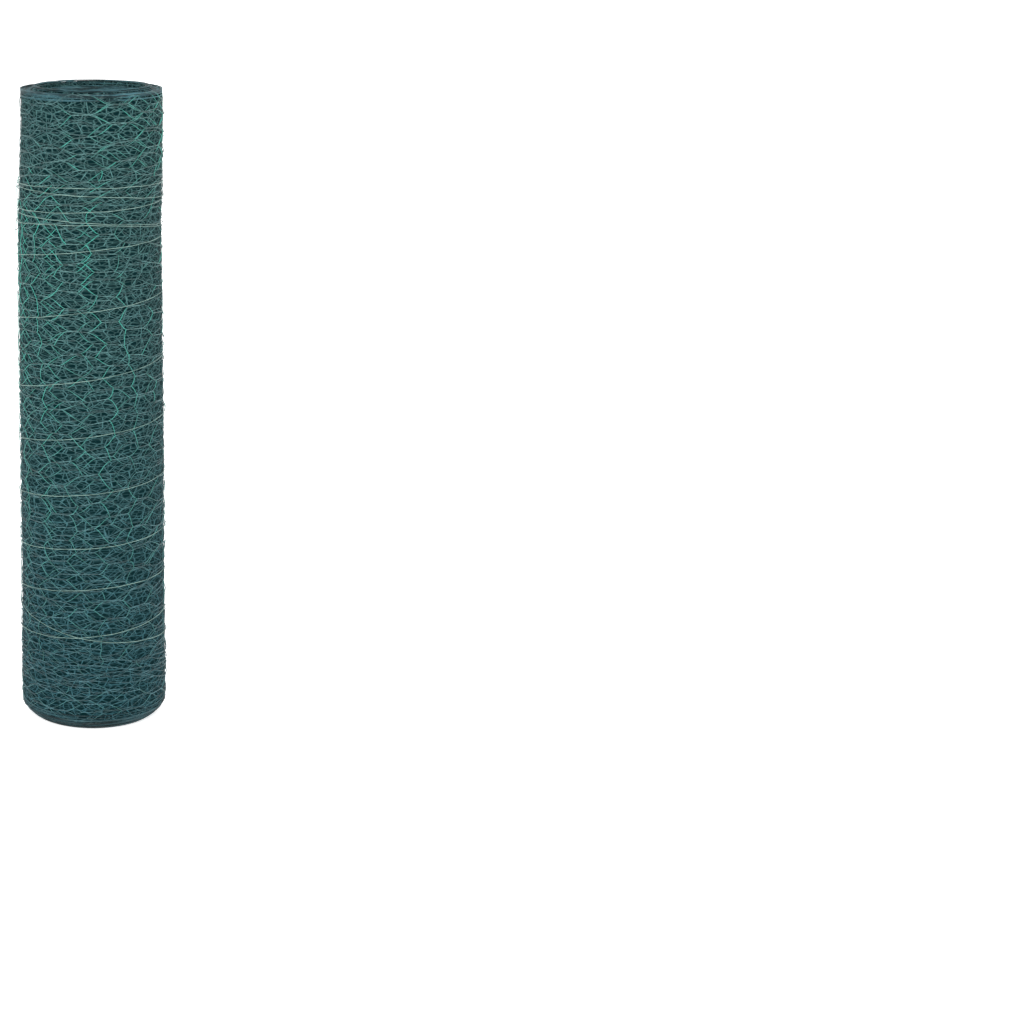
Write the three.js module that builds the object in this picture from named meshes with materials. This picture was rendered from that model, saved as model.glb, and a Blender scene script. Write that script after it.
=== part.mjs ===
// A roll of green coated hexagonal wire mesh, wound loose round an open bore and stood on end,
// with one thin galvanised binding wire wound round it from low down to near the top.
// Millimetres, +Z up. The origin is the middle of the lower end. The front of the roll faces -Y.

import * as THREE from 'three';

// The wound mesh
const MESH_WIDTH = 1000; // width of the fence mesh, so the height of the standing roll
const MESH_LENGTH = 25000; // mesh on the roll
const TURN_PITCH = 1.48; // how far one turn of the mesh stands out from the turn below it
const BORE_RADIUS = 38; // the open middle that the first turn leaves
const ROLL_SIDES = 32; // a multiple of four, so that the roll is as wide one way as the other

// A loose winding of pitch p and length L covers p * L of the end face, which is the ring
// between the bore and the outside of the roll.
const MEAN_RADIUS = Math.sqrt(BORE_RADIUS ** 2 + (MESH_LENGTH * TURN_PITCH) / Math.PI);

// The roll is wound tighter at the upper end than at the lower end. Share of the mesh width, and
// how far the outside there stands out from the mean radius.
const OUTSIDE = [
  [0.02, 3],
  [0.06, 4],
  [0.2, 1.8],
  [0.5, 0.3],
  [0.75, -2],
  [1, -5.5],
];

// The turns as they show on both ends, bunched about five to a ridge with a groove between
// bunches. Each number is how far a ridge stands back from its end, from the bore outwards: a
// collar of turns stands proud at the upper end, and the outer turns ride up at the lower end.
const UPPER_SETBACKS = [13, 12, 10, 9, 7, 5, 0, 0, 4, 4];
const LOWER_SETBACKS = [0, 0, 0, 0, 0, 0, 0, 0, 0, 6, 15];
const GROOVE_WIDTH = 3.2;
const GROOVE_DEPTH = 7;

// The binding wire
const WIRE_DIAMETER = 0.9;
const WIRE_SIDES = 5;
const WIRE_GAP = 0.3; // left between the wire and the outermost turn
const CROSSING_LIFT = 1.6; // how far the wire stands out where it crosses over its first turn
const CROSSING_QUARTER = 4.85; // quarter turns from the wire's lower end to the crossing
const CROSSING_SPAN = 0.3; // quarter turns from the crossing to where the wire lies down again

// How high the wire is at each quarter turn, as a share of the mesh width. It starts on the left
// of the roll and goes round by the front, the right and the back. It dips under its own second
// turn, climbs through the middle and lies in close turns near the top.
const WIRE_HEIGHTS = [
  [0.192, 0.154, 0.139, 0.143],
  [0.149, 0.161, 0.183, 0.205],
  [0.22, 0.238, 0.248, 0.268],
  [0.289, 0.305, 0.32, 0.346],
  [0.372, 0.392, 0.409, 0.433],
  [0.458, 0.483, 0.503, 0.523],
  [0.542, 0.571, 0.598, 0.624],
  [0.648, 0.676, 0.696, 0.722],
  [0.746, 0.768, 0.779, 0.79],
  [0.799, 0.806, 0.793, 0.8],
  [0.814, 0.8095, 0.797, 0.807],
  [0.819, 0.826, 0.834, 0.843],
  [0.854, 0.849, 0.838, 0.85],
  [0.858, 0.861, 0.86],
];

const coatedMesh = new THREE.MeshStandardMaterial({
  color: 0x3f6c66,
  roughness: 0.45,
  metalness: 0.0,
});

const galvanisedWire = new THREE.MeshStandardMaterial({
  color: 0xa9a69a,
  roughness: 0.4,
  metalness: 0.7,
});

// Radius of the roll's outside at a height
function outside(height) {
  const share = height / MESH_WIDTH;
  const above = Math.max(1, OUTSIDE.findIndex(([at]) => at >= share));
  const [low, lowOffset] = OUTSIDE[above - 1];
  const [high, highOffset] = OUTSIDE[above];
  const t = Math.max(0, (share - low) / (high - low));
  return MEAN_RADIUS + lowOffset + t * (highOffset - lowOffset);
}

// One end of the roll from the bore outwards: flat ridges, with a V groove between each ridge and
// the next. inwards is +1 where the roll lies above the end, and -1 where it lies below.
function endProfile(height, inwards, setbacks) {
  const outer = outside(height + inwards * setbacks.at(-1));
  const pitch = (outer - BORE_RADIUS) / setbacks.length;
  const level = (setback) => height + inwards * setback;
  const points = [new THREE.Vector2(BORE_RADIUS, level(setbacks[0]))];
  for (let ridge = 1; ridge < setbacks.length; ridge += 1) {
    const middle = BORE_RADIUS + ridge * pitch;
    const [inner, next] = [setbacks[ridge - 1], setbacks[ridge]];
    points.push(
      new THREE.Vector2(middle - GROOVE_WIDTH / 2, level(inner)),
      new THREE.Vector2(middle, level(Math.max(inner, next) + GROOVE_DEPTH)),
      new THREE.Vector2(middle + GROOVE_WIDTH / 2, level(next)),
    );
  }
  points.push(new THREE.Vector2(outer, level(setbacks.at(-1))));
  return points;
}

// The whole roll as one turned ring, from the bore round by the lower end, the outside and the
// upper end.
function meshRoll() {
  const lowerEnd = endProfile(0, 1, LOWER_SETBACKS);
  const upperEnd = endProfile(MESH_WIDTH, -1, UPPER_SETBACKS).reverse();
  const side = OUTSIDE.slice(0, -1).map(([share]) => share * MESH_WIDTH);
  const sidePoints = side.map((height) => new THREE.Vector2(outside(height), height));
  const profile = [...lowerEnd, ...sidePoints, ...upperEnd, lowerEnd[0].clone()];
  const geometry = new THREE.LatheGeometry(profile, ROLL_SIDES);
  geometry.rotateX(Math.PI / 2);
  const roll = new THREE.Mesh(geometry, coatedMesh);
  roll.name = 'mesh_roll';
  return roll;
}

// The middle line of the binding wire. Its parameter runs evenly with the angle round the roll,
// so each straight stretch of the wire lies along one flat side of the roll.
class Winding extends THREE.Curve {
  constructor(standOff, heights) {
    super();
    this.standOff = standOff;
    this.quarters = heights.length - 1;
    this.rise = new THREE.SplineCurve(heights.map((height, quarter) => new THREE.Vector2(quarter, height)));
  }

  // How far the wire stands out to pass over its first turn
  lift(quarter) {
    const share = Math.min(1, Math.abs(quarter - CROSSING_QUARTER) / CROSSING_SPAN);
    return CROSSING_LIFT * Math.cos((share * Math.PI) / 2) ** 2;
  }

  getPoint(t, target = new THREE.Vector3()) {
    const quarter = this.quarters * t;
    const angle = Math.PI + (quarter * Math.PI) / 2;
    const height = this.rise.getPoint(t).y;
    const radius = outside(height) + this.standOff + this.lift(quarter);
    return target.set(radius * Math.cos(angle), radius * Math.sin(angle), height);
  }

  getUtoTmapping(u) {
    return u;
  }
}

function bindingWire() {
  const heights = WIRE_HEIGHTS.flat().map((share) => share * MESH_WIDTH);
  const wireRadius = WIRE_DIAMETER / 2;
  const section = new THREE.Shape();
  for (let corner = 0; corner < WIRE_SIDES; corner += 1) {
    const angle = (2 * Math.PI * corner) / WIRE_SIDES;
    const x = wireRadius * Math.cos(angle);
    const y = wireRadius * Math.sin(angle);
    if (corner === 0) {
      section.moveTo(x, y);
    } else {
      section.lineTo(x, y);
    }
  }
  section.closePath();
  const geometry = new THREE.ExtrudeGeometry(section, {
    steps: ((heights.length - 1) * ROLL_SIDES) / 4,
    extrudePath: new Winding(WIRE_GAP + wireRadius, heights),
  });
  const wire = new THREE.Mesh(geometry, galvanisedWire);
  wire.name = 'binding_wire';
  return wire;
}

const wireMeshFence = new THREE.Group();
wireMeshFence.name = 'wire_mesh_fence_roll';
wireMeshFence.add(meshRoll(), bindingWire());

export default wireMeshFence;
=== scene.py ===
"""A standing roll of green coated hexagonal wire mesh, dressed round its CAD solids.

The outer turns, the turns along the bore, and the ends and edge wires of every turn are real
wires on one spiral. What they hide is one packed ring. A thin binding wire goes round it all.
"""

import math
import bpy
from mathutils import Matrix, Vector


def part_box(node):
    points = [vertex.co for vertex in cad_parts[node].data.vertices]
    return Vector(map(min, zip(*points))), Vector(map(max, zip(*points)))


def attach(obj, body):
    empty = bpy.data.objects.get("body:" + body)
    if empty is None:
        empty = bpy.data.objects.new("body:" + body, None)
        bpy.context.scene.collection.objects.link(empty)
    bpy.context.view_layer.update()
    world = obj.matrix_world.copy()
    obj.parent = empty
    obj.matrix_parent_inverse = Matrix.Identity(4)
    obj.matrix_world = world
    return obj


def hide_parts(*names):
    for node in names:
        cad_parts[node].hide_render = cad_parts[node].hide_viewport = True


bl_info = {
    "name": "Wire Mesh Roll",
    "version": (1, 0, 0),
    "blender": (4, 5, 0),
    "location": "3D View > Sidebar > Mesh Roll",
    "description": "Winds a roll of coated hexagonal mesh, ties it and sets a studio round it",
    "category": "Object",
}

import bpy
import numpy as np
from mathutils import Vector

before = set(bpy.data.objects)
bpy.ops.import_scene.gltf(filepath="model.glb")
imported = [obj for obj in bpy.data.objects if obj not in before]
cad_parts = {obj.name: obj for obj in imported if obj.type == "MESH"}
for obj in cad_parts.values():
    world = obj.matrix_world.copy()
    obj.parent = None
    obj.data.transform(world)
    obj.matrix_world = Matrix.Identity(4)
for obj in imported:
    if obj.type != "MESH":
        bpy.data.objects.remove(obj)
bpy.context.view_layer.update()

# The roll as the CAD has it, in metres
ROLL_LOW, ROLL_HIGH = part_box("mesh_roll")
MESH_WIDTH = ROLL_HIGH[2] - ROLL_LOW[2]
BORE_RADIUS = min(math.hypot(v.co.x, v.co.y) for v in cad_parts["mesh_roll"].data.vertices)

ROOT = "root"
MESH_NODE = "mesh_roll"
BINDING_NODE = "binding_wire"
MILLIMETRE = 0.001

# Share of the mesh width, and how far the outside of the roll there stands out from its mean
# radius in millimetres, as in the CAD
OUTSIDE = ((0.0, 3.0), (0.02, 3.0), (0.06, 4.0), (0.2, 1.8), (0.5, 0.3), (0.75, -2.0), (1.0, -5.5))
MEAN_RADIUS = (ROLL_HIGH[0] - ROLL_LOW[0]) / 2 - max(offset for _, offset in OUTSIDE) * MILLIMETRE

# Share of the way from the bore to the outside, and how far the edge of a turn there stands
# above the end of the roll in millimetres: a proud collar on the upper end, and outer turns that
# ride up at the lower end
UPPER_END = (
    (0.0, -13.0), (0.3, -10.5), (0.5, -8.0), (0.58, -6.5), (0.62, 1.6),
    (0.72, 1.6), (0.76, -4.0), (0.965, -5.5), (0.988, -2.6), (1.0, -2.6),
)
LOWER_END = (
    (0.0, 0.0), (0.79, 0.0), (0.82, 3.0), (0.86, 4.5),
    (0.89, 8.5), (0.93, 10.5), (0.96, 15.5), (1.0, 18.0),
)

# How high the binding wire is at each quarter turn, as a share of the mesh width. It starts on
# the left of the roll and goes round by the front, the right and the back, as in the CAD.
BINDING_HEIGHTS = (
    (0.192, 0.154, 0.139, 0.143),
    (0.149, 0.161, 0.183, 0.205),
    (0.220, 0.238, 0.248, 0.268),
    (0.289, 0.305, 0.320, 0.346),
    (0.372, 0.392, 0.409, 0.433),
    (0.458, 0.483, 0.503, 0.523),
    (0.542, 0.571, 0.598, 0.624),
    (0.648, 0.676, 0.696, 0.722),
    (0.746, 0.768, 0.779, 0.790),
    (0.799, 0.806, 0.793, 0.800),
    (0.814, 0.8095, 0.797, 0.807),
    (0.819, 0.826, 0.834, 0.843),
    (0.854, 0.849, 0.838, 0.850),
    (0.858, 0.861, 0.860),
)
BINDING_QUARTERS = sum(len(turn) for turn in BINDING_HEIGHTS) - 1

# The outer piece holds this many turns, and the near pieces hold the turns under it
OUTER_TURNS = 1.15
NEAR_TURNS = 4
NEAR_PIECES = 2

BORE_LINING = 0.006  # depth of the turns that line the bore
PACKED_OVERLAP = 0.0015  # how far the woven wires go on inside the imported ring
PACKED_INSET = 0.002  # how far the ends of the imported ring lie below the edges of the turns
PACKED_RINGS = 40
PACKED_LEVELS = 60
PACKED_SIDES = 96
# The deep turns' colour is painted shade, full at this depth and fading out towards the outside
NEAR_DEPTH = 0.006  # how far below the outside a wire has the full colour of the deep turns

# The winding is worked out at this many radii, and with this many tries of how much wider the
# pitch is at the bore than outside. The pitch grows towards the bore with this power.
WINDING_RADII = 1500
PITCH_TRIES = 200
MOST_EXTRA_PITCH = 0.008
PITCH_POWER = 1.5

# Smooth noise over the mesh: seed, and size of its bumps along and across the mesh
DRIFTS = {
    "far_along": (11, 0.27, 0.17),
    "far_up": (12, 0.31, 0.16),
    "bulge": (13, 0.085, 0.06),
    "ripple": (14, 0.032, 0.024),
    "rim": (15, 0.14, 0.3),
    "shear": (16, 0.11, 0.09),
    "slope": (17, 0.16, 0.12),
    "near_along": (18, 0.09, 0.08),
    "near_up": (19, 0.10, 0.07),
}
TWIST_SEED = 21

# How much the edges of the turns wander, in millimetres above and as a share of how far they
# ride up below, and the height at which each reads its noise
UPPER_RIM, UPPER_RIM_AT = 1.1, 0.5
LOWER_RIM, LOWER_RIM_AT = 0.12, 0.1

# How the turns stand off the roll
LEAST_SLACK = 0.05  # share of the slack between the bulges
BULGE_POWER = 1.8
HELD_SLACK = 0.15  # share of the slack under the binding wire
END_SLACK = 0.35  # share of the slack at the edges of the mesh
LOWER_TAPER, UPPER_TAPER = 0.02, 0.025  # how far from each edge the mesh is drawn in
END_TUCK = 2.2  # millimetres that the edges of the loose turns are drawn in
RIPPLE, LOOSE_RIPPLE = 0.25, 0.4  # millimetres on every turn, and more on the loose ones

# How the twists lie off their places in the woven pattern. SPRUNG is what the loosest mesh adds.
SPRUNG_FROM, SPRUNG_TO, SPRUNG_FADE = 0.05, 0.87, 0.07  # heights between which mesh springs loose
FREE_FROM_EDGE = 0.07  # distance from an edge at which the pattern drifts freely
DRAWN_SHARE = 0.6  # share of Relaxed by which sprung mesh draws back
LEAST_WANDER = 0.3
LEAN, SPRUNG_LEAN = 0.0015, 0.008
NEAR_ALONG, NEAR_UP, OWN_UP = 1.4, 1.3, 0.5
SPREAD, LEAST_SPREAD = 0.024, 0.35
SPRUNG_SHORTER = 0.10
LENGTH_VARIES, SPRUNG_LENGTH_VARIES = 0.08, 0.10
OWN_SLOPE, SLOPE, SPRUNG_SLOPE = 0.05, 0.09, 0.16
OWN_LIFT = 0.3  # millimetres

# Between two twists a wire bends this share of the way from straight to a smooth S, and bows
# along the mesh, at most by a quarter of BOW
SPAN_CURVE = 0.55
BOW = 0.016

# Shares of the mesh width between which the coating goes from its low to its high colour, a painted shade
# that is darkest near the floor and lifts up the roll
RISE_FROM, RISE_TO = 0.05, 0.8

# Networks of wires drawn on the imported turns: width and height of their openings, and lightness.
# A drawn wire is full and gone at these distances from its middle.
PACKED_NETWORKS = (
    (0.013, 0.0050, 0.55),
    (0.019, 0.0082, 0.9),
    (0.032, 0.0150, 1.25),
)
DRAWN_FULL, DRAWN_GONE = 0.00022, 0.0006
ENDWAYS = 0.9  # how fast the networks go on inwards over the ends, against up the side

# Where the outermost turn bulges: direction in degrees, height, half width in degrees, half
# height, millimetres
BULGES = (
    (193, 0.848, 32, 0.013, 4.0),
    (190, 0.782, 38, 0.014, 4.5),
    (200, 0.62, 30, 0.03, 1.5),
    (350, 0.30, 30, 0.03, 1.5),
)

# Share of the mesh width, and the bend of the roll's axis there
CROOK = ((0.0, -0.4), (0.45, -0.4), (0.6, -0.7), (0.8, -0.9), (0.88, 0.2), (0.95, 1.0), (1.0, 0.8))

# Edge wires: outermost and innermost turn in, line in from the edge, steps in a turn, sides, strands
EDGE_WIRES = (
    (0, 5, 0, 96, 5, 2),
    (5, 99, 0, 60, 4, 1),
    (0, 3, 1, 72, 5, 1),
    (0, 3, 2, 72, 5, 1),
)
EDGE_LAY = 0.05  # length in which the two strands of an edge go once round each other

BINDING_WIRE_RADIUS = 0.00045
BINDING_GAP = 0.0003
BINDING_STEPS = 30  # in a quarter turn
BINDING_SEED = 5
BINDING_WAVES = (2.3, 5.7, 9.1, 14.9)  # rates of its small waves round the roll

# Where the binding wire passes over its own first turn, in quarter turns from its lower end
CROSSING_QUARTER = 4.85
CROSSING_SPAN = 0.3
CROSSING_LIFT = 0.0016

# Stage
FLOOR_SIDE = 60.0
LIT_POINT = (0.0, 0.0, 0.6)
WORLD_COLOUR = (1.0, 1.0, 1.0)
WORLD_STRENGTH = 1.07
LIGHTS = (
    ("left", (-2.6, -0.6, 1.5), (1.0, 1.8), 10),
    ("right", (2.6, -0.9, 1.5), (1.0, 1.8), 14),
    ("key", (-0.9, -2.6, 2.3), (1.4, 1.0), 38),
)


class WeaveSizes(bpy.types.PropertyGroup):
    """The mesh as woven, lying flat."""

    rows: bpy.props.IntProperty(
        name="Rows", description="Openings across the width of the mesh", default=30, min=4)
    column_pitch: bpy.props.FloatProperty(
        name="Column pitch", description="From the middle of one column of twists to the next",
        default=0.0605, unit="LENGTH", subtype="DISTANCE")
    twist_length: bpy.props.FloatProperty(
        name="Twist length", description="Length over which two wires are twisted together",
        default=0.032, unit="LENGTH", subtype="DISTANCE")
    wire_diameter: bpy.props.FloatProperty(
        name="Wire diameter", description="Diameter of a wire with its coating",
        default=0.00088, unit="LENGTH", subtype="DISTANCE")
    edge_diameter: bpy.props.FloatProperty(
        name="Edge wire diameter", description="Diameter of the wires along both edges",
        default=0.0008, unit="LENGTH", subtype="DISTANCE")
    edge_spacing: bpy.props.FloatProperty(
        name="Edge wire spacing", description="Between the line wires along an edge",
        default=0.0042, unit="LENGTH", subtype="DISTANCE")


class WindingSizes(bpy.types.PropertyGroup):
    """How the mesh lies on the roll."""

    mesh_length: bpy.props.FloatProperty(
        name="Mesh length", description="Mesh on the roll",
        default=25.0, unit="LENGTH", subtype="DISTANCE")
    outer_pitch: bpy.props.FloatProperty(
        name="Outer pitch", description="How far the outermost turn stands out from the next",
        default=0.00062, unit="LENGTH", subtype="DISTANCE")
    outer_end: bpy.props.FloatProperty(
        name="Outer end", description="Direction from the axis in which the mesh ends",
        default=math.radians(112), unit="ROTATION", subtype="ANGLE")
    loose_turns: bpy.props.FloatProperty(
        name="Loose turns", description="Outer turns that have sprung loose", default=2.2)
    slack: bpy.props.FloatProperty(
        name="Slack", description="Most that a loose turn stands off the roll",
        default=0.0045, unit="LENGTH", subtype="DISTANCE")
    relaxed: bpy.props.FloatProperty(
        name="Relaxed", description="Share by which freed mesh would draw back along its length",
        default=0.25, subtype="FACTOR")
    wander: bpy.props.FloatProperty(
        name="Wander", description="How far a loose twist lies from its place in the woven pattern",
        default=0.0042, unit="LENGTH", subtype="DISTANCE")
    drift: bpy.props.FloatProperty(
        name="Drift", description="How far the pattern of a turn drifts from that of the next",
        default=0.016, unit="LENGTH", subtype="DISTANCE")
    crook: bpy.props.FloatProperty(
        name="Crook", description="How far the axis of the roll bends to the side",
        default=0.0024, unit="LENGTH", subtype="DISTANCE")
    packed_depth: bpy.props.FloatProperty(
        name="Packed depth", description="Depth below the outermost turn at which wires no longer show",
        default=0.0031, unit="LENGTH", subtype="DISTANCE")


class FinishColours(bpy.types.PropertyGroup):
    """Colours of the coating and of the binding wire."""

    # Painted light: the green as brightly lit on the steep single wires of the outer turns
    coating: bpy.props.FloatVectorProperty(
        name="Coating", description="Green plastic coating on the single wires of the outer turns",
        default=(0.045, 0.42, 0.33), subtype="COLOR", min=0, max=1)
    # Painted shade: the level wires, darker than the steep ones that the side lights catch
    coating_level_shade: bpy.props.FloatVectorProperty(
        name="Shaded level coating", description="Coating of the level wires, high up",
        default=(0.052, 0.120, 0.119), subtype="COLOR", min=0, max=1)
    # Painted shade: the coating darker and bluer near the floor, where less light falls
    coating_low_shade: bpy.props.FloatVectorProperty(
        name="Low coating", description="Coating near the floor, bluer and darker",
        default=(0.031, 0.089, 0.105), subtype="COLOR", min=0, max=1)
    # Painted shade: the turns further in, darker and bluer as less light reaches them
    coating_deep_shade: bpy.props.FloatVectorProperty(
        name="Deep coating", description="Coating of the turns further in, bluer and darker",
        default=(0.020, 0.088, 0.098), subtype="COLOR", min=0, max=1)
    # Painted shade: the dark between the packed turns, where no light reaches
    gap: bpy.props.FloatVectorProperty(
        name="Gap", description="What shows between the packed turns",
        default=(0.001, 0.013, 0.015), subtype="COLOR", min=0, max=1)
    edge: bpy.props.FloatVectorProperty(
        name="Edge coating", description="Coating of the edge wires",
        default=(0.030, 0.084, 0.099), subtype="COLOR", min=0, max=1)
    # Pale dust and bloom; on the upper side of the woven wires it also stands for a painted sheen
    dust: bpy.props.FloatVectorProperty(
        name="Dust", description="Pale bloom and dust on the upper side of the wires",
        default=(0.22, 0.33, 0.32), subtype="COLOR", min=0, max=1)
    zinc: bpy.props.FloatVectorProperty(
        name="Zinc", description="Binding wire", default=(0.27, 0.41, 0.37),
        subtype="COLOR", min=0, max=1)
    zinc_dull: bpy.props.FloatVectorProperty(
        name="Dull zinc", description="Weathered patches on the binding wire",
        default=(0.12, 0.20, 0.18), subtype="COLOR", min=0, max=1)


class StudioSizes(bpy.types.PropertyGroup):
    """Camera, floor and lights."""

    camera_distance: bpy.props.FloatProperty(
        name="Camera distance", description="From the roll's axis to the camera, level",
        default=3.4, unit="LENGTH", subtype="DISTANCE")
    camera_height: bpy.props.FloatProperty(
        name="Camera height", description="Height of the camera above the floor",
        default=1.320, unit="LENGTH", subtype="DISTANCE")
    aim: bpy.props.FloatVectorProperty(
        name="Aim", description="Point in the middle of the view, before the shift",
        default=(0.0961, 0.0, 0.3293), subtype="TRANSLATION", unit="LENGTH")
    lens: bpy.props.FloatProperty(
        name="Focal length", description="Lens in millimetres on a 36 mm sensor", default=78.0)
    shift: bpy.props.FloatProperty(
        name="Sideways shift", description="Puts the roll at the left of the picture", default=0.35)
    floor: bpy.props.FloatVectorProperty(
        name="Floor", description="Pale floor", default=(0.96, 0.96, 0.96),
        subtype="COLOR", min=0, max=1)


def smooth(x):
    """A smooth step from 0 to 1."""
    x = np.clip(x, 0.0, 1.0)
    return x * x * (3.0 - 2.0 * x)


def raised(least, share):
    """A share that starts from least instead of 0."""
    return least + (1 - least) * share


def unit(vectors):
    """The vectors at length 1."""
    return vectors / np.maximum(np.linalg.norm(vectors, axis=-1, keepdims=True), 1e-9)


class Drift:
    """Smooth seeded noise from -1 to 1 over a field, with bumps of a given size."""

    def __init__(self, seed, along, up, length):
        self.along, self.up = along, up
        count = int(length / along) + 4, int(MESH_WIDTH / up) + 4
        self.table = np.random.default_rng(seed).uniform(-1.0, 1.0, count)

    def __call__(self, along, up):
        x, y = along / self.along + 1, up / self.up + 1
        column = np.clip(np.floor(x).astype(int), 0, self.table.shape[0] - 2)
        row = np.clip(np.floor(y).astype(int), 0, self.table.shape[1] - 2)
        x, y = smooth(x - column), smooth(y - row)
        lower = self.table[column, row] * (1 - x) + self.table[column + 1, row] * x
        upper = self.table[column, row + 1] * (1 - x) + self.table[column + 1, row + 1] * x
        return lower * (1 - y) + upper * y


def along_table(share, table):
    """The value in millimetres that a table of (share, millimetres) gives at a share, in metres."""
    shares, values = zip(*table)
    return np.interp(share, shares, values) * MILLIMETRE


def outside(height):
    """Radius of the roll's outside at a height."""
    return MEAN_RADIUS + along_table(height / MESH_WIDTH, OUTSIDE)


def binding_height(quarter):
    """Height of the binding wire after a number of quarter turns, on a smooth curve."""
    heights = np.concatenate([np.array(turn) for turn in BINDING_HEIGHTS]) * MESH_WIDTH
    last = len(heights) - 1
    start = np.clip(np.floor(quarter).astype(int), 0, last - 1)
    t = quarter - start
    a, b = heights[np.maximum(start - 1, 0)], heights[start]
    c, d = heights[start + 1], heights[np.minimum(start + 2, last)]
    out, into = (c - a) / 2, (d - b) / 2
    return (2 * b - 2 * c + out + into) * t**3 + (3 * c - 3 * b - 2 * out - into) * t**2 + out * t + b


def held_down(angle, height, reach=0.024):
    """0 where the binding wire presses the mesh down, rising to 1 at reach above and below it."""
    quarter = np.mod(angle - math.pi, 2 * math.pi) / (math.pi / 2)
    nearest = np.full(np.shape(height), 1.0)
    for turn in range(BINDING_QUARTERS // 4 + 1):
        at = quarter + 4 * turn
        gap = np.abs(height - binding_height(np.minimum(at, BINDING_QUARTERS)))
        nearest = np.minimum(nearest, np.where(at <= BINDING_QUARTERS, gap, 1.0))
    return smooth(nearest / reach)


class Roll:
    """Where each point of the flat mesh lies on the roll."""

    def __init__(self, scene):
        self.weave, self.winding = scene.weave_sizes, scene.winding_sizes
        wire = self.weave.wire_diameter
        self.inner, self.outer = BORE_RADIUS + wire, MEAN_RADIUS - wire
        self.wind()
        self.columns = int(self.winding.mesh_length / self.weave.column_pitch)
        self.half_rows = 2 * self.weave.rows
        self.half_row = MESH_WIDTH / self.half_rows
        length = self.winding.mesh_length
        for name, (seed, along, up) in DRIFTS.items():
            setattr(self, name, Drift(seed, along, up, length))
        shape = self.columns + 2, self.half_rows + 2
        random = np.random.default_rng(TWIST_SEED)
        self.own_along, self.own_up = random.normal(0, 1, shape), random.normal(0, 1, shape)
        self.own_tilt, self.own_lift = random.normal(0, 1, shape), random.normal(0, 1, shape)
        self.own_length = random.uniform(-1, 1, shape)

    def wind(self):
        """Sets how far apart the turns lie: closest outside, and loosest at the bore.

        The pitch at the bore is the one that takes up the whole mesh.
        """
        self.radii = np.linspace(self.inner, self.outer, WINDING_RADII)
        step = self.radii[1] - self.radii[0]
        share = (self.outer - self.radii) / (self.outer - self.inner)

        def pitch(extra):
            return self.winding.outer_pitch + extra * share**PITCH_POWER

        def total(values):
            return np.concatenate([[0.0], np.cumsum((values[1:] + values[:-1]) / 2 * step)])

        extras = np.linspace(MOST_EXTRA_PITCH, 0.0, PITCH_TRIES)
        lengths = [total(2 * math.pi * self.radii / pitch(extra))[-1] for extra in extras]
        extra = np.interp(self.winding.mesh_length, lengths, extras)
        self.lengths = total(2 * math.pi * self.radii / pitch(extra))
        self.turns = total(1 / pitch(extra))

    def radius(self, along):
        """Distance from the axis at a length along the mesh, counted from the bore."""
        return np.interp(along, self.lengths, self.radii)

    def turns_in(self, along):
        """Turns from a point of the mesh to its outer end."""
        return self.turns[-1] - np.interp(along, self.lengths, self.turns)

    def column_at(self, turns_in):
        """The column of twists a number of turns in from the outer end."""
        along = np.interp(self.turns[-1] - turns_in, self.turns, self.lengths)
        return int(along / self.weave.column_pitch)

    def column_at_radius(self, radius):
        """The column of twists at a distance from the axis."""
        return int(np.interp(radius, self.radii, self.lengths) / self.weave.column_pitch)

    def angle(self, along):
        """Direction from the axis at a length along the mesh."""
        return self.winding.outer_end - 2 * math.pi * self.turns_in(along)

    def looseness(self, along):
        """0 on the tight turns, rising to 1 on the outermost."""
        return smooth(1 - self.turns_in(along) / self.winding.loose_turns)

    def share(self, radius):
        """Share of the way from the innermost turn to the outermost."""
        return (radius - self.inner) / (self.outer - self.inner)

    def ends(self, radius, along):
        """Heights of a turn's lower and upper edge."""
        share = self.share(radius)
        rim = UPPER_RIM * MILLIMETRE * self.rim(along, UPPER_RIM_AT + 0 * along)
        ridden = 1 + LOWER_RIM * self.rim(along, LOWER_RIM_AT + 0 * along)
        lower = along_table(share, LOWER_END) * ridden
        upper = MESH_WIDTH + along_table(share, UPPER_END) + rim
        return lower + self.weave.edge_diameter, upper

    def lay(self, along, up, lift=0.0):
        """Points of the flat mesh on the roll, lifted off their turn."""
        along, up = np.broadcast_arrays(along, up)
        radius, angle, loose = self.radius(along), self.angle(along), self.looseness(along)
        lower, upper = self.ends(radius, along)
        height = lower + up / MESH_WIDTH * (upper - lower)
        bulging = LEAST_SLACK + np.maximum(self.bulge(along, up), 0) ** BULGE_POWER
        slack = bulging * self.winding.slack * loose
        slack = slack * raised(HELD_SLACK, held_down(angle, height))
        for direction, at, wide, tall, amount in BULGES:
            turned = np.mod(angle - math.radians(direction) + math.pi, 2 * math.pi) - math.pi
            near = (turned / math.radians(wide)) ** 2 + ((height - at) / tall) ** 2
            slack = slack + amount * MILLIMETRE * loose * np.exp(-near)
        ends = smooth(up / LOWER_TAPER) * smooth((MESH_WIDTH - up) / UPPER_TAPER)
        ripple = self.ripple(along, up) * (RIPPLE + LOOSE_RIPPLE * loose) * MILLIMETRE
        reach = radius + self.share(radius) * along_table(height / MESH_WIDTH, OUTSIDE)
        tuck = END_TUCK * MILLIMETRE * loose * (1 - ends)
        reach = reach + slack * raised(END_SLACK, ends) + ripple + lift - tuck
        aside = self.winding.crook * crooked(height)
        return np.stack([reach * np.cos(angle) + aside, reach * np.sin(angle), height], axis=-1)

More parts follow.
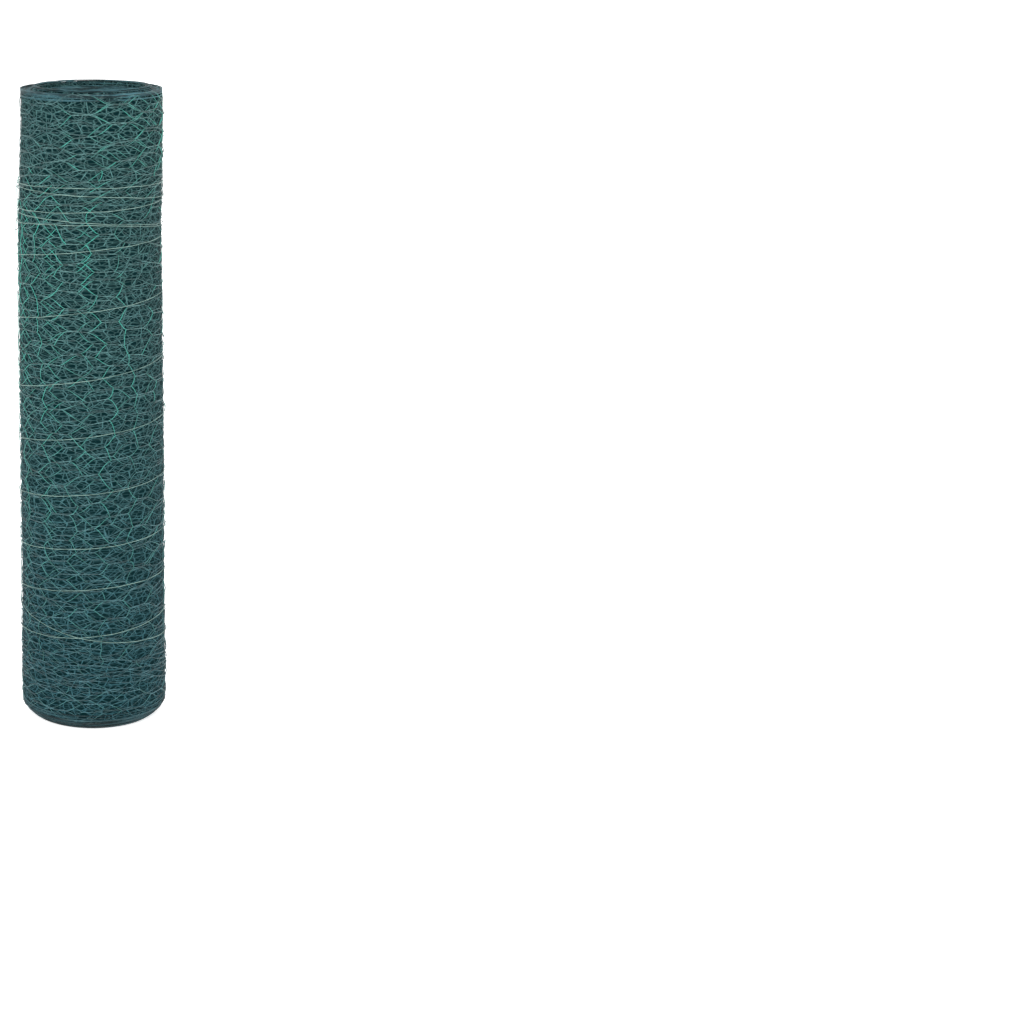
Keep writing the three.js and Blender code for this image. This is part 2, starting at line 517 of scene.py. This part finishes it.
    def twists(self, column, half_row):
        """(middle along the mesh, height, tilt, half length, lift) of twists in the flat mesh.

        Where the outermost turn has sprung loose its openings are narrower and taller, and lean.
        """
        along, up = (column + 0.5) * self.weave.column_pitch, half_row * self.half_row
        own = column, half_row
        from_edge = np.minimum(half_row, self.half_rows - half_row)
        inside, free = smooth(from_edge / 2), smooth(from_edge * self.half_row / FREE_FROM_EDGE)
        loose = self.looseness(along)
        sprung = loose * smooth((up - SPRUNG_FROM) / SPRUNG_FADE) * smooth((SPRUNG_TO - up) / SPRUNG_FADE)
        loose_from = np.interp(self.turns[-1] - self.winding.loose_turns, self.turns, self.lengths)
        drawn = self.winding.relaxed * sprung * np.maximum(along - loose_from, 0) * DRAWN_SHARE
        wander = self.winding.wander * raised(LEAST_WANDER, sprung)
        drift = self.winding.drift
        lean = np.where(column % 2 == 0, 1.0, -1.0) * (LEAN + SPRUNG_LEAN * sprung) * self.shear(along, up)
        middle = along - drawn + lean + drift * self.far_along(along, up)
        middle = middle + wander * (NEAR_ALONG * self.near_along(along, up) + self.own_along[own])
        spread = -SPREAD * np.sin(2 * math.pi * up / MESH_WIDTH) * raised(LEAST_SPREAD, loose)
        stray = free * drift * self.far_up(along, up)
        own_stray = NEAR_UP * self.near_up(along, up) + OWN_UP * self.own_up[own]
        stray = stray + wander * inside * own_stray
        half = self.weave.twist_length / 2
        varies = LENGTH_VARIES + SPRUNG_LENGTH_VARIES * sprung
        half = half * (1 - SPRUNG_SHORTER * sprung + varies * self.own_length[own])
        slope = OWN_SLOPE * self.own_tilt[own] + (SLOPE + SPRUNG_SLOPE * sprung) * self.slope(along, up)
        tilt, lift = inside * half * slope, self.own_lift[own] * OWN_LIFT * MILLIMETRE
        return middle, up + spread + stray, tilt, half, lift

    def wires(self, first, last, twist_points, turns_in_twist, span_points, chosen=None):
        """Middle lines of the wires from column first up to column last, (wires, points, 3).

        Each wire runs to the twist below it in one column and to the twist above it in the next.
        """
        wire = (np.arange(self.half_rows) if chosen is None else np.array(chosen))[:, None]
        column = np.arange(first, last + 1)[None, :]
        upper = (wire - column) % 2 == 0
        half_row = np.where(upper, wire, wire + 1)
        middle, height, tilt, half, lift = self.twists(np.broadcast_to(column, half_row.shape), half_row)
        side = np.where(upper, 1.0, -1.0)
        apart = self.weave.wire_diameter / 2
        u = np.linspace(0, 1, twist_points)[None, None, :]
        turned = 2 * math.pi * turns_in_twist * u
        along = middle[..., None] + half[..., None] * (2 * u - 1)
        up = height[..., None] + tilt[..., None] * (2 * u - 1) + apart * side[..., None] * np.cos(turned)
        out = lift[..., None] + apart * side[..., None] * np.sin(turned)
        share = np.linspace(0, 1, span_points + 2)[None, None, 1:-1]
        joined = []
        bow = BOW * self.own_length[column, half_row][:, :-1, None] * share * (1 - share)
        curved = share + SPAN_CURVE * (smooth(share) - share)
        for values, bent in ((along, share), (up, curved), (out, share)):
            span = values[:, :-1, -1:] * (1 - bent) + values[:, 1:, :1] * bent
            span = span + (bow if values is along else 0)
            rows = np.concatenate([values[:, :-1], span], axis=2).reshape(len(values), -1)
            joined.append(np.concatenate([rows, values[:, -1, :1]], axis=1))
        return self.lay(*joined)

    def edge_wires(self, low, high, inset, steps_in_turn, strands):
        """Middle lines of the strands along one edge of the mesh, from one turn to another.

        low and high count turns in from the outer end. inset is the distance from the lower edge.
        """
        turns = np.linspace(self.turns[-1] - high, self.turns[-1] - low, int((high - low) * steps_in_turn))
        along = np.interp(turns, self.turns, self.lengths)
        paths = []
        for strand in range(strands):
            turned = 2 * math.pi * (along / EDGE_LAY + strand / strands)
            apart = self.weave.edge_diameter / 2 * (strands - 1)
            paths.append(self.lay(along, inset + apart * np.cos(turned), apart * np.sin(turned)))
        return np.stack(paths)


def crooked(height):
    """Bend of the roll's axis, from -1 to 1."""
    heights, bends = zip(*CROOK)
    return np.interp(height / MESH_WIDTH, heights, bends)


def tubes(paths, radius, sides):
    """(vertices, steepness, quads, caps) of round tubes along many paths of as many points each."""
    count, points = paths.shape[:2]
    ahead = unit(np.gradient(paths, axis=1))
    outward = unit(paths * np.array([1.0, 1.0, 0.0]))
    across = unit(np.cross(ahead, outward))
    outward = np.cross(across, ahead)
    corner = 2 * math.pi * np.arange(sides)[None, None, :, None] / sides
    ring = radius * (np.cos(corner) * outward[:, :, None] + np.sin(corner) * across[:, :, None])
    vertices = (paths[:, :, None] + ring).reshape(-1, 3)
    steepness = np.repeat(np.abs(ahead[..., 2]).ravel(), sides)
    index = np.arange(count * points * sides).reshape(count, points, sides)
    after = np.roll(index, -1, axis=2)
    quads = np.stack([index[:, :-1], after[:, :-1], after[:, 1:], index[:, 1:]], axis=-1).reshape(-1, 4)
    caps = np.concatenate([index[:, 0, ::-1], index[:, -1]])
    return vertices, steepness, quads, caps


def turned_ring(profile, steps):
    """(vertices, steepness, quads) of a ring turned from a closed profile of (radius, height)."""
    angle = np.linspace(0, 2 * math.pi, steps, endpoint=False)[:, None]
    radius, height = (np.array(values)[None, :] for values in zip(*profile))
    points = [radius * np.cos(angle), radius * np.sin(angle), height + 0 * angle]
    vertices = np.stack(points, axis=-1).reshape(-1, 3)
    index = np.arange(steps * len(profile)).reshape(steps, len(profile))
    beside, above = np.roll(index, -1, axis=0), np.roll(index, -1, axis=1)
    quads = np.stack([index, beside, np.roll(beside, -1, axis=1), above], axis=-1).reshape(-1, 4)
    return vertices, np.zeros(len(vertices)), quads


def nearness(vertices):
    """1 on the outside of the roll, falling to 0 well below it."""
    deep = outside(vertices[:, 2]) - np.hypot(vertices[:, 0], vertices[:, 1])
    return smooth(1 - deep / NEAR_DEPTH)


def mesh_piece(name, parts, material, node):
    """One shown piece of joined tubes, which stands for a CAD node."""
    vertices, steepness, loops, starts = [], [], [], []
    vertex_count = loop_count = 0
    for part_vertices, part_steepness, *faces in parts:
        for group in faces:
            loops.append((group + vertex_count).ravel())
            starts.append(loop_count + np.arange(len(group)) * group.shape[1])
            loop_count += group.size
        vertices.append(part_vertices)
        steepness.append(part_steepness)
        vertex_count += len(part_vertices)
    vertices, loops, starts = (np.concatenate(values) for values in (vertices, loops, starts))
    mesh = bpy.data.meshes.new(name)
    mesh.vertices.add(len(vertices))
    mesh.vertices.foreach_set("co", vertices.astype(np.float32).ravel())
    mesh.loops.add(len(loops))
    mesh.loops.foreach_set("vertex_index", loops.astype(np.int32))
    mesh.polygons.add(len(starts))
    mesh.polygons.foreach_set("loop_start", starts.astype(np.int32))
    mesh.update(calc_edges=True)
    mesh.validate()
    mesh.polygons.foreach_set("use_smooth", np.ones(len(starts), dtype=bool))
    for label, values in (("steepness", np.concatenate(steepness)), ("nearness", nearness(vertices))):
        attribute = mesh.attributes.new(label, "FLOAT", "POINT")
        attribute.data.foreach_set("value", values.astype(np.float32))
    mesh.materials.append(material)
    piece = bpy.data.objects.new(name, mesh)
    bpy.context.collection.objects.link(piece)
    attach(piece, ROOT)
    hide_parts(node)


def woven_piece(name, scene, roll, first, last, sides, **detail):
    """One shown piece of the wires from column first up to column last."""
    material = coated_wire_finish(scene.finish_colours)
    wires = tubes(roll.wires(first, last, **detail), roll.weave.wire_diameter / 2, sides)
    mesh_piece(name, [wires], material, MESH_NODE)


class Value:
    """A socket of a material's node tree, so that shader maths reads as an expression."""

    def __init__(self, tree, socket):
        self.tree, self.socket = tree, socket

    def maths(self, operation, first, second):
        node = self.tree.nodes.new("ShaderNodeMath")
        node.operation = operation
        for place, value in zip(node.inputs, (first, second)):
            if isinstance(value, Value):
                self.tree.links.new(value.socket, place)
            else:
                place.default_value = value
        return Value(self.tree, node.outputs[0])

    def __add__(self, other):
        return self.maths("ADD", self, other)

    def __rsub__(self, other):
        return self.maths("SUBTRACT", other, self)

    def __mul__(self, other):
        return self.maths("MULTIPLY", self, other)

    def __truediv__(self, other):
        return self.maths("DIVIDE", self, other)

    def __pow__(self, other):
        return self.maths("POWER", self, other)

    __radd__, __rmul__ = __add__, __mul__


class Finish:
    """A material with one Principled shader, and the nodes that feed it."""

    def __init__(self, name, steady=None):
        self.material = bpy.data.materials.new(name)
        self.material.use_nodes = True
        self.tree = self.material.node_tree
        self.shader = self.tree.nodes["Principled BSDF"]
        for socket, value in (steady or {}).items():
            self.shader.inputs[socket].default_value = value

    def node(self, kind, settings=None, inputs=None, output=0):
        """A new node's output. Its settings are set first, then its sockets' values or links."""
        node = self.tree.nodes.new(kind)
        for name, value in (settings or {}).items():
            setattr(node, name, value)
        for name, value in (inputs or {}).items():
            if isinstance(value, Value):
                self.tree.links.new(value.socket, node.inputs[name])
            else:
                node.inputs[name].default_value = value
        return Value(self.tree, node.outputs[output])

    def place(self):
        """Position on the object, in metres."""
        return self.node("ShaderNodeTexCoord", output=3)

    def parts(self, vector):
        """The x, y and z of a vector."""
        outputs = self.node("ShaderNodeSeparateXYZ", {}, {"Vector": vector}).socket.node.outputs
        return [Value(self.tree, socket) for socket in outputs]

    def round_the_roll(self, place):
        """(angle, radius, height) of a position."""
        x, y, z = self.parts(place)
        angle = self.node("ShaderNodeMath", {"operation": "ARCTAN2"}, {0: y, 1: x})
        return angle, (x * x + y * y) ** 0.5, z

    def rise(self, height):
        """0 near the floor, rising to 1 high on the roll."""
        return self.span(height, RISE_FROM * MESH_WIDTH, RISE_TO * MESH_WIDTH)

    def painted(self, name):
        """A number kept at each point of the mesh."""
        return self.node("ShaderNodeAttribute", {"attribute_name": name}, output=2)

    def noise(self, place, size, detail=2.0, rough=0.5):
        """Noise of about 0.5, with bumps of a size in metres."""
        return self.node("ShaderNodeTexNoise", {}, {
            "Vector": place, "Scale": 1 / size, "Detail": detail, "Roughness": rough})

    def span(self, value, low, high):
        """0 to 1 as a value goes from low to high, smoothly."""
        return self.node("ShaderNodeMapRange", {"interpolation_type": "SMOOTHSTEP"}, {
            "Value": value, "From Min": low, "From Max": high})

    def blend(self, share, first, second):
        """A mix of two colours."""
        mixed = self.node("ShaderNodeMix", {"data_type": "RGBA"}, {"Factor": share}, output=2)
        node = mixed.socket.node
        for place, value in ((node.inputs[6], first), (node.inputs[7], second)):
            if isinstance(value, Value):
                self.tree.links.new(value.socket, place)
            else:
                place.default_value = (*value, 1.0)
        return mixed

    def scaled(self, colour, amount):
        """A colour made lighter or darker."""
        node = self.node("ShaderNodeVectorMath", {"operation": "SCALE"}, {"Vector": colour}).socket.node
        self.tree.links.new(amount.socket, node.inputs["Scale"])
        return Value(self.tree, node.outputs[0])

    def bump(self, height, strength, distance):
        """A normal bent by heights."""
        return self.node("ShaderNodeBump", {}, {
            "Height": height, "Strength": strength, "Distance": distance})

    def feed(self, links):
        """Links values to the shader's own sockets."""
        for socket, value in links.items():
            self.tree.links.new(value.socket, self.shader.inputs[socket])


def coated_wire_finish(colours):
    """Green plastic coating, with painted light: brightest on the steep single wires of the outer turns,
    high up.

    Painted shade makes level and low wires duller and deep ones darker and bluer; all have pale dust and
    bloom on their upper side, partly a painted sheen.
    """
    name = "green_coating"
    if name in bpy.data.materials:
        return bpy.data.materials[name]
    finish = Finish(name, {"Coat Roughness": 0.25, "Specular IOR Level": 0.35})
    place = finish.place()
    z = finish.parts(place)[2]
    upward = finish.parts(finish.node("ShaderNodeNewGeometry", output=1))[2]
    near, steep = finish.painted("nearness"), finish.painted("steepness")
    patches = finish.noise(place, 0.05, 3.0)
    dashes = finish.span(finish.noise(place, 0.013, 2.0), 0.36, 0.64)
    fine = finish.noise(place, 0.006, 2.0)
    rise = finish.rise(z)
    # Painted light: steep single wires of the outer turns, high up, take the bright coating as if the side
    # and key lights fell on them; random patches vary it
    painted_light = finish.span(steep, 0.22, 0.65) * (0.25 + 0.75 * rise) * finish.span(near, 0.6, 0.95)
    painted_light = painted_light * (0.6 + 0.4 * finish.span(patches, 0.35, 0.65))
    # Painted shade: level wires darker than steep ones, and all darker and bluer low on the roll; random
    # dashes then vary it as wear
    dull = finish.blend(rise, tuple(colours.coating_low_shade), tuple(colours.coating_level_shade))
    shaded_and_worn = finish.scaled(dull, 0.5 + 1.25 * dashes)
    outer = finish.blend(painted_light, shaded_and_worn, tuple(colours.coating))
    # Painted shade: wires below the outside take a darker, bluer coating by their nearness, with random
    # mottle
    deep = finish.blend(finish.span(fine, 0.3, 0.7), colours.coating_deep_shade * 0.4, colours.coating_deep_shade * 1.5)
    colour = finish.blend(near, deep, outer)
    # Pale dust and bloom on the upper side of the wires, partly a painted sheen from above
    bloom = finish.span(upward, 0.1, 0.9) * finish.span(fine, 0.25, 0.75) * 0.22
    colour = finish.blend(bloom, colour, tuple(colours.dust))
    bump = finish.bump(finish.noise(place, 0.0016, 1.0), strength=0.25, distance=0.0004)
    finish.feed({
        "Base Color": colour,
        "Roughness": 0.38 + 0.22 * patches,
        "Coat Weight": near * 0.2,
        "Normal": bump,
    })
    return finish.material


def edge_wire_finish(colours):
    """The same coating on the edge wires, scuffed and dusty where the roll is stood on its ends, and
    darkened by painted shade near the floor.
    """
    name = "scuffed_edge_coating"
    if name in bpy.data.materials:
        return bpy.data.materials[name]
    finish = Finish(name, {"Specular IOR Level": 0.2})
    place = finish.place()
    around, radius, z = finish.round_the_roll(place)
    # Painted shade: the edge wires darken towards the floor, as in a contact shadow
    painted_floor_shade = finish.span(z, 0.06 * MESH_WIDTH, 0.0)
    # Random light and dark from turn to turn: partly the coating's own tone, partly painted shade between
    # the turns
    turn = finish.node("ShaderNodeCombineXYZ", {}, {"X": radius / 0.0032, "Y": around * 1.5, "Z": z / 0.008})
    lines = finish.span(finish.noise(turn, 1.0, 3.0), 0.42, 0.58)
    scuffs = finish.span(finish.noise(place, 0.005, 3.0), 0.5, 0.72)
    colour = finish.blend(lines, colours.edge * 0.4, colours.edge * 1.8)
    colour = finish.blend(scuffs * 0.35, colour, colours.dust * 0.8)
    colour = finish.scaled(colour, 1.0 - 0.5 * painted_floor_shade)
    bump = finish.bump(finish.noise(place, 0.0014, 1.0), strength=0.3, distance=0.0004)
    finish.feed({"Base Color": colour, "Roughness": 0.42 + 0.25 * scuffs, "Normal": bump})
    return finish.material


def packed_turns_finish(colours):
    """The turns that lie too deep to tell apart: networks of wires over one another, on painted shade."""
    finish = Finish("packed_coating", {"Specular IOR Level": 0.02})
    place = finish.place()
    around, radius, z = finish.round_the_roll(place)
    rise = finish.rise(z)
    # Painted shade: the drawn wires darker and bluer low on the roll, as on the woven ones
    wire = finish.blend(rise, tuple(colours.coating_low_shade), tuple(colours.coating_level_shade))
    # The packed ring starts from the painted shade of the gaps, and the networks are drawn over it
    colour, wires = tuple(colours.gap), 0.0
    for wide, tall, light in PACKED_NETWORKS:
        flat = finish.node("ShaderNodeCombineXYZ", {}, {
            "X": around * (MEAN_RADIUS / wide), "Y": (z + radius * ENDWAYS) / tall})
        apart = finish.node(
            "ShaderNodeTexVoronoi", {"voronoi_dimensions": "2D", "feature": "DISTANCE_TO_EDGE"},
            {"Vector": flat, "Scale": 1.0})
        line = finish.span(apart * tall, DRAWN_GONE, DRAWN_FULL)
        colour = finish.blend(line, colour, finish.scaled(wire, finish.noise(flat, 0.7, 2.0) * (2 * light)))
        wires = line + wires
    bump = finish.bump(wires, strength=0.6, distance=0.001)
    finish.feed({"Base Color": colour, "Roughness": 0.75 - 0.1 * wires, "Normal": bump})
    return finish.material


def binding_wire_finish(colours):
    """Thin galvanised wire, dulled in patches."""
    finish = Finish("dull_zinc")
    place = finish.place()
    patches = finish.span(finish.noise(place, 0.03, 3.0), 0.35, 0.7)
    bump = finish.bump(finish.noise(place, 0.0012, 1.0), strength=0.2, distance=0.0003)
    finish.feed({
        "Base Color": finish.blend(patches, tuple(colours.zinc), tuple(colours.zinc_dull)),
        "Roughness": 0.40 + 0.25 * patches,
        "Metallic": 0.7 - 0.4 * patches,
        "Normal": bump,
    })
    return finish.material


def floor_finish(colour):
    """Pale matt floor with the faintest mottle."""
    finish = Finish("pale_floor", {
        "Roughness": 0.9,
        "Specular IOR Level": 0.1,
        "Emission Color": (1, 1, 1, 1),
        "Emission Strength": 0.6,
    })
    place = finish.place()
    mottle = finish.noise(place, 0.4, 2.0)
    finish.feed({"Base Color": finish.blend(mottle, colour * 0.99, tuple(colour))})
    return finish.material


class MESHROLL_OT_outer_turn(bpy.types.Operator):
    """Make the outermost turn of mesh, with its wires twisted together"""

    bl_idname = "mesh_roll.outer_turn"
    bl_label = "Outer turn"

    def execute(self, context):
        roll = Roll(context.scene)
        woven_piece("outer_turn", context.scene, roll, roll.column_at(OUTER_TURNS), roll.columns,
                    sides=5, twist_points=14, turns_in_twist=3, span_points=5)
        return {"FINISHED"}


class MESHROLL_OT_near_turns(bpy.types.Operator):
    """Make the turns just under the outermost, which show well through it"""

    bl_idname = "mesh_roll.near_turns"
    bl_label = "Near turns"

    def execute(self, context):
        roll = Roll(context.scene)
        bounds = np.linspace(OUTER_TURNS, OUTER_TURNS + NEAR_TURNS, NEAR_PIECES + 1)
        for number in range(NEAR_PIECES):
            start, stop = roll.column_at(bounds[number + 1]), roll.column_at(bounds[number])
            woven_piece(f"near_turns_{number + 1}", context.scene, roll, start, stop,
                        sides=4, twist_points=8, turns_in_twist=2, span_points=3)
        return {"FINISHED"}


class MESHROLL_OT_under_turns(bpy.types.Operator):
    """Make the deeper turns that still show in the gaps"""

    bl_idname = "mesh_roll.under_turns"
    bl_label = "Under turns"

    def execute(self, context):
        roll = Roll(context.scene)
        start = roll.column_at_radius(roll.outer - roll.winding.packed_depth - PACKED_OVERLAP)
        stop = roll.column_at(OUTER_TURNS + NEAR_TURNS)
        woven_piece("under_turns_1", context.scene, roll, start, stop,
                    sides=3, twist_points=2, turns_in_twist=0, span_points=1)
        return {"FINISHED"}


class MESHROLL_OT_bore_turns(bpy.types.Operator):
    """Make the first turns, which line the bore, and the ends of the turns that are packed away"""

    bl_idname = "mesh_roll.bore_turns"
    bl_label = "Bore turns"

    def execute(self, context):
        roll = Roll(context.scene)
        lined = roll.column_at_radius(BORE_RADIUS + BORE_LINING)
        packed = roll.column_at_radius(roll.outer - roll.winding.packed_depth)
        woven_piece("bore_turns", context.scene, roll, 0, lined,
                    sides=4, twist_points=6, turns_in_twist=1.5, span_points=1)
        ends = [0, 1, roll.half_rows - 2, roll.half_rows - 1]
        woven_piece("packed_ends", context.scene, roll, lined, packed,
                    sides=3, twist_points=2, turns_in_twist=0, span_points=1, chosen=ends)
        return {"FINISHED"}


class MESHROLL_OT_packed_turns(bpy.types.Operator):
    """Make the ring of turns that lie too deep to tell apart"""

    bl_idname = "mesh_roll.packed_turns"
    bl_label = "Packed turns"

    def execute(self, context):
        roll = Roll(context.scene)
        inside, outer = BORE_RADIUS + BORE_LINING, MEAN_RADIUS - roll.winding.packed_depth
        radii = np.linspace(inside, outer, PACKED_RINGS)
        low = along_table(roll.share(radii), LOWER_END) + PACKED_INSET
        high = MESH_WIDTH + along_table(roll.share(radii), UPPER_END) - PACKED_INSET
        heights = np.linspace(low[-1], high[-1], PACKED_LEVELS)[1:-1]
        outline = list(zip(radii, low)) + [(outer, height) for height in heights]
        outline += list(zip(radii[::-1], high[::-1]))
        heights = np.linspace(high[0], low[0], PACKED_LEVELS)[1:-1]
        outline += [(inside, height) for height in heights]
        profile = []
        for radius, height in outline:
            wider = roll.share(radius) * along_table(height / MESH_WIDTH, OUTSIDE)
            profile.append((radius + wider, height))
        vertices, steepness, quads = turned_ring(profile, PACKED_SIDES)
        vertices[:, 0] += roll.winding.crook * crooked(vertices[:, 2])
        parts = [(vertices, steepness, quads)]
        material = packed_turns_finish(context.scene.finish_colours)
        mesh_piece("packed_turns", parts, material, MESH_NODE)
        return {"FINISHED"}


class MESHROLL_OT_edge_wires(bpy.types.Operator):
    """Make the edge wires of every turn, which show as a spiral on both ends"""

    bl_idname = "mesh_roll.edge_wires"
    bl_label = "Edge wires"

    def execute(self, context):
        roll = Roll(context.scene)
        material = edge_wire_finish(context.scene.finish_colours)
        radius, spacing = roll.weave.edge_diameter / 2, roll.weave.edge_spacing
        for name, top in (("lower_edge_wires", False), ("upper_edge_wires", True)):
            parts = []
            for low, high, line, steps, sides, strands in EDGE_WIRES:
                inset = MESH_WIDTH - line * spacing if top else line * spacing
                high = min(high, roll.turns[-1])
                parts.append(tubes(roll.edge_wires(low, high, inset, steps, strands), radius, sides))
            mesh_piece(name, parts, material, MESH_NODE)
        return {"FINISHED"}


class MESHROLL_OT_binding_wire(bpy.types.Operator):
    """Wind the binding wire round the roll, over the slack places"""

    bl_idname = "mesh_roll.binding_wire"
    bl_label = "Binding wire"

    def execute(self, context):
        quarter = np.linspace(0, BINDING_QUARTERS, BINDING_QUARTERS * BINDING_STEPS + 1)
        angle = math.pi + quarter * math.pi / 2
        random = np.random.default_rng(BINDING_SEED)
        waves = sum(random.uniform(0.1, 0.3) * np.sin(angle * rate + random.uniform(0, 6))
                    for rate in BINDING_WAVES)
        height = binding_height(quarter) + waves * MILLIMETRE
        crossing = np.clip(np.abs(quarter - CROSSING_QUARTER) / CROSSING_SPAN, 0, 1)
        lift = CROSSING_LIFT * np.cos(crossing * math.pi / 2) ** 2
        radius = outside(height) + BINDING_GAP + BINDING_WIRE_RADIUS + lift
        aside = context.scene.winding_sizes.crook * crooked(height)
        path = np.stack([radius * np.cos(angle) + aside, radius * np.sin(angle), height], axis=-1)
        parts = [tubes(path[None], BINDING_WIRE_RADIUS, sides=6)]
        material = binding_wire_finish(context.scene.finish_colours)
        mesh_piece("binding_wire_round", parts, material, BINDING_NODE)
        return {"FINISHED"}


class MESHROLL_OT_stage(bpy.types.Operator):
    """Make the floor, the lights, the surroundings and the camera"""

    bl_idname = "mesh_roll.stage"
    bl_label = "Stage"

    def execute(self, context):
        scene, studio = context.scene, context.scene.studio_sizes
        side = FLOOR_SIDE / 2
        mesh = bpy.data.meshes.new("floor")
        corners = [(-side, -side, 0), (side, -side, 0), (side, side, 0), (-side, side, 0)]
        mesh.from_pydata(corners, [], [(0, 1, 2, 3)])
        mesh.materials.append(floor_finish(studio.floor))
        floor = bpy.data.objects.new("floor", mesh)
        context.collection.objects.link(floor)
        for name, place, size, power in LIGHTS:
            lamp = bpy.data.lights.new(name, "AREA")
            lamp.shape, lamp.size, lamp.size_y, lamp.energy = "RECTANGLE", *size, power
            light = bpy.data.objects.new(name, lamp)
            light.location = place
            light.rotation_mode = "QUATERNION"
            light.rotation_quaternion = (Vector(LIT_POINT) - Vector(place)).to_track_quat("-Z", "Y")
            context.collection.objects.link(light)
        world = bpy.data.worlds.new("studio")
        world.use_nodes = True
        around = world.node_tree.nodes["Background"].inputs
        around["Color"].default_value = (*WORLD_COLOUR, 1.0)
        around["Strength"].default_value = WORLD_STRENGTH
        scene.world = world
        scene.view_settings.view_transform = "Standard"
        camera = bpy.data.objects.new("camera", bpy.data.cameras.new("camera"))
        camera.data.lens, camera.data.shift_x = studio.lens, studio.shift
        camera.location = (0, -studio.camera_distance, studio.camera_height)
        camera.rotation_mode = "QUATERNION"
        camera.rotation_quaternion = (Vector(studio.aim) - camera.location).to_track_quat("-Z", "Y")
        context.collection.objects.link(camera)
        scene.camera = camera
        return {"FINISHED"}


class MESHROLL_PT_panel(bpy.types.Panel):
    """Sizes and colours of the roll, and its pieces in the order in which they are made"""

    bl_idname = "MESHROLL_PT_panel"
    bl_label = "Wire Mesh Roll"
    bl_space_type = "VIEW_3D"
    bl_region_type = "UI"
    bl_category = "Mesh Roll"

    def draw(self, context):
        for name in PROPERTY_GROUPS:
            group = getattr(context.scene, name)
            box = self.layout.box()
            for size in group.bl_rna.properties:
                if not size.is_readonly and size.identifier != "name":
                    box.prop(group, size.identifier)
        for operator in OPERATORS:
            self.layout.operator(operator.bl_idname)


PROPERTY_GROUPS = {
    "weave_sizes": WeaveSizes,
    "winding_sizes": WindingSizes,
    "finish_colours": FinishColours,
    "studio_sizes": StudioSizes,
}
OPERATORS = (
    MESHROLL_OT_stage,
    MESHROLL_OT_outer_turn,
    MESHROLL_OT_near_turns,
    MESHROLL_OT_under_turns,
    MESHROLL_OT_bore_turns,
    MESHROLL_OT_packed_turns,
    MESHROLL_OT_edge_wires,
    MESHROLL_OT_binding_wire,
)


def register():
    for name, group in PROPERTY_GROUPS.items():
        bpy.utils.register_class(group)
        setattr(bpy.types.Scene, name, bpy.props.PointerProperty(type=group))
    for operator in OPERATORS:
        bpy.utils.register_class(operator)
    bpy.utils.register_class(MESHROLL_PT_panel)


def unregister():
    bpy.utils.unregister_class(MESHROLL_PT_panel)
    for operator in reversed(OPERATORS):
        bpy.utils.unregister_class(operator)
    for name, group in reversed(PROPERTY_GROUPS.items()):
        delattr(bpy.types.Scene, name)
        bpy.utils.unregister_class(group)


def main():
    register()
    bpy.ops.mesh_roll.stage()
    bpy.ops.mesh_roll.outer_turn()
    bpy.ops.mesh_roll.near_turns()
    bpy.ops.mesh_roll.under_turns()
    bpy.ops.mesh_roll.bore_turns()
    bpy.ops.mesh_roll.packed_turns()
    bpy.ops.mesh_roll.edge_wires()
    bpy.ops.mesh_roll.binding_wire()


if __name__ == "__main__":
    main()
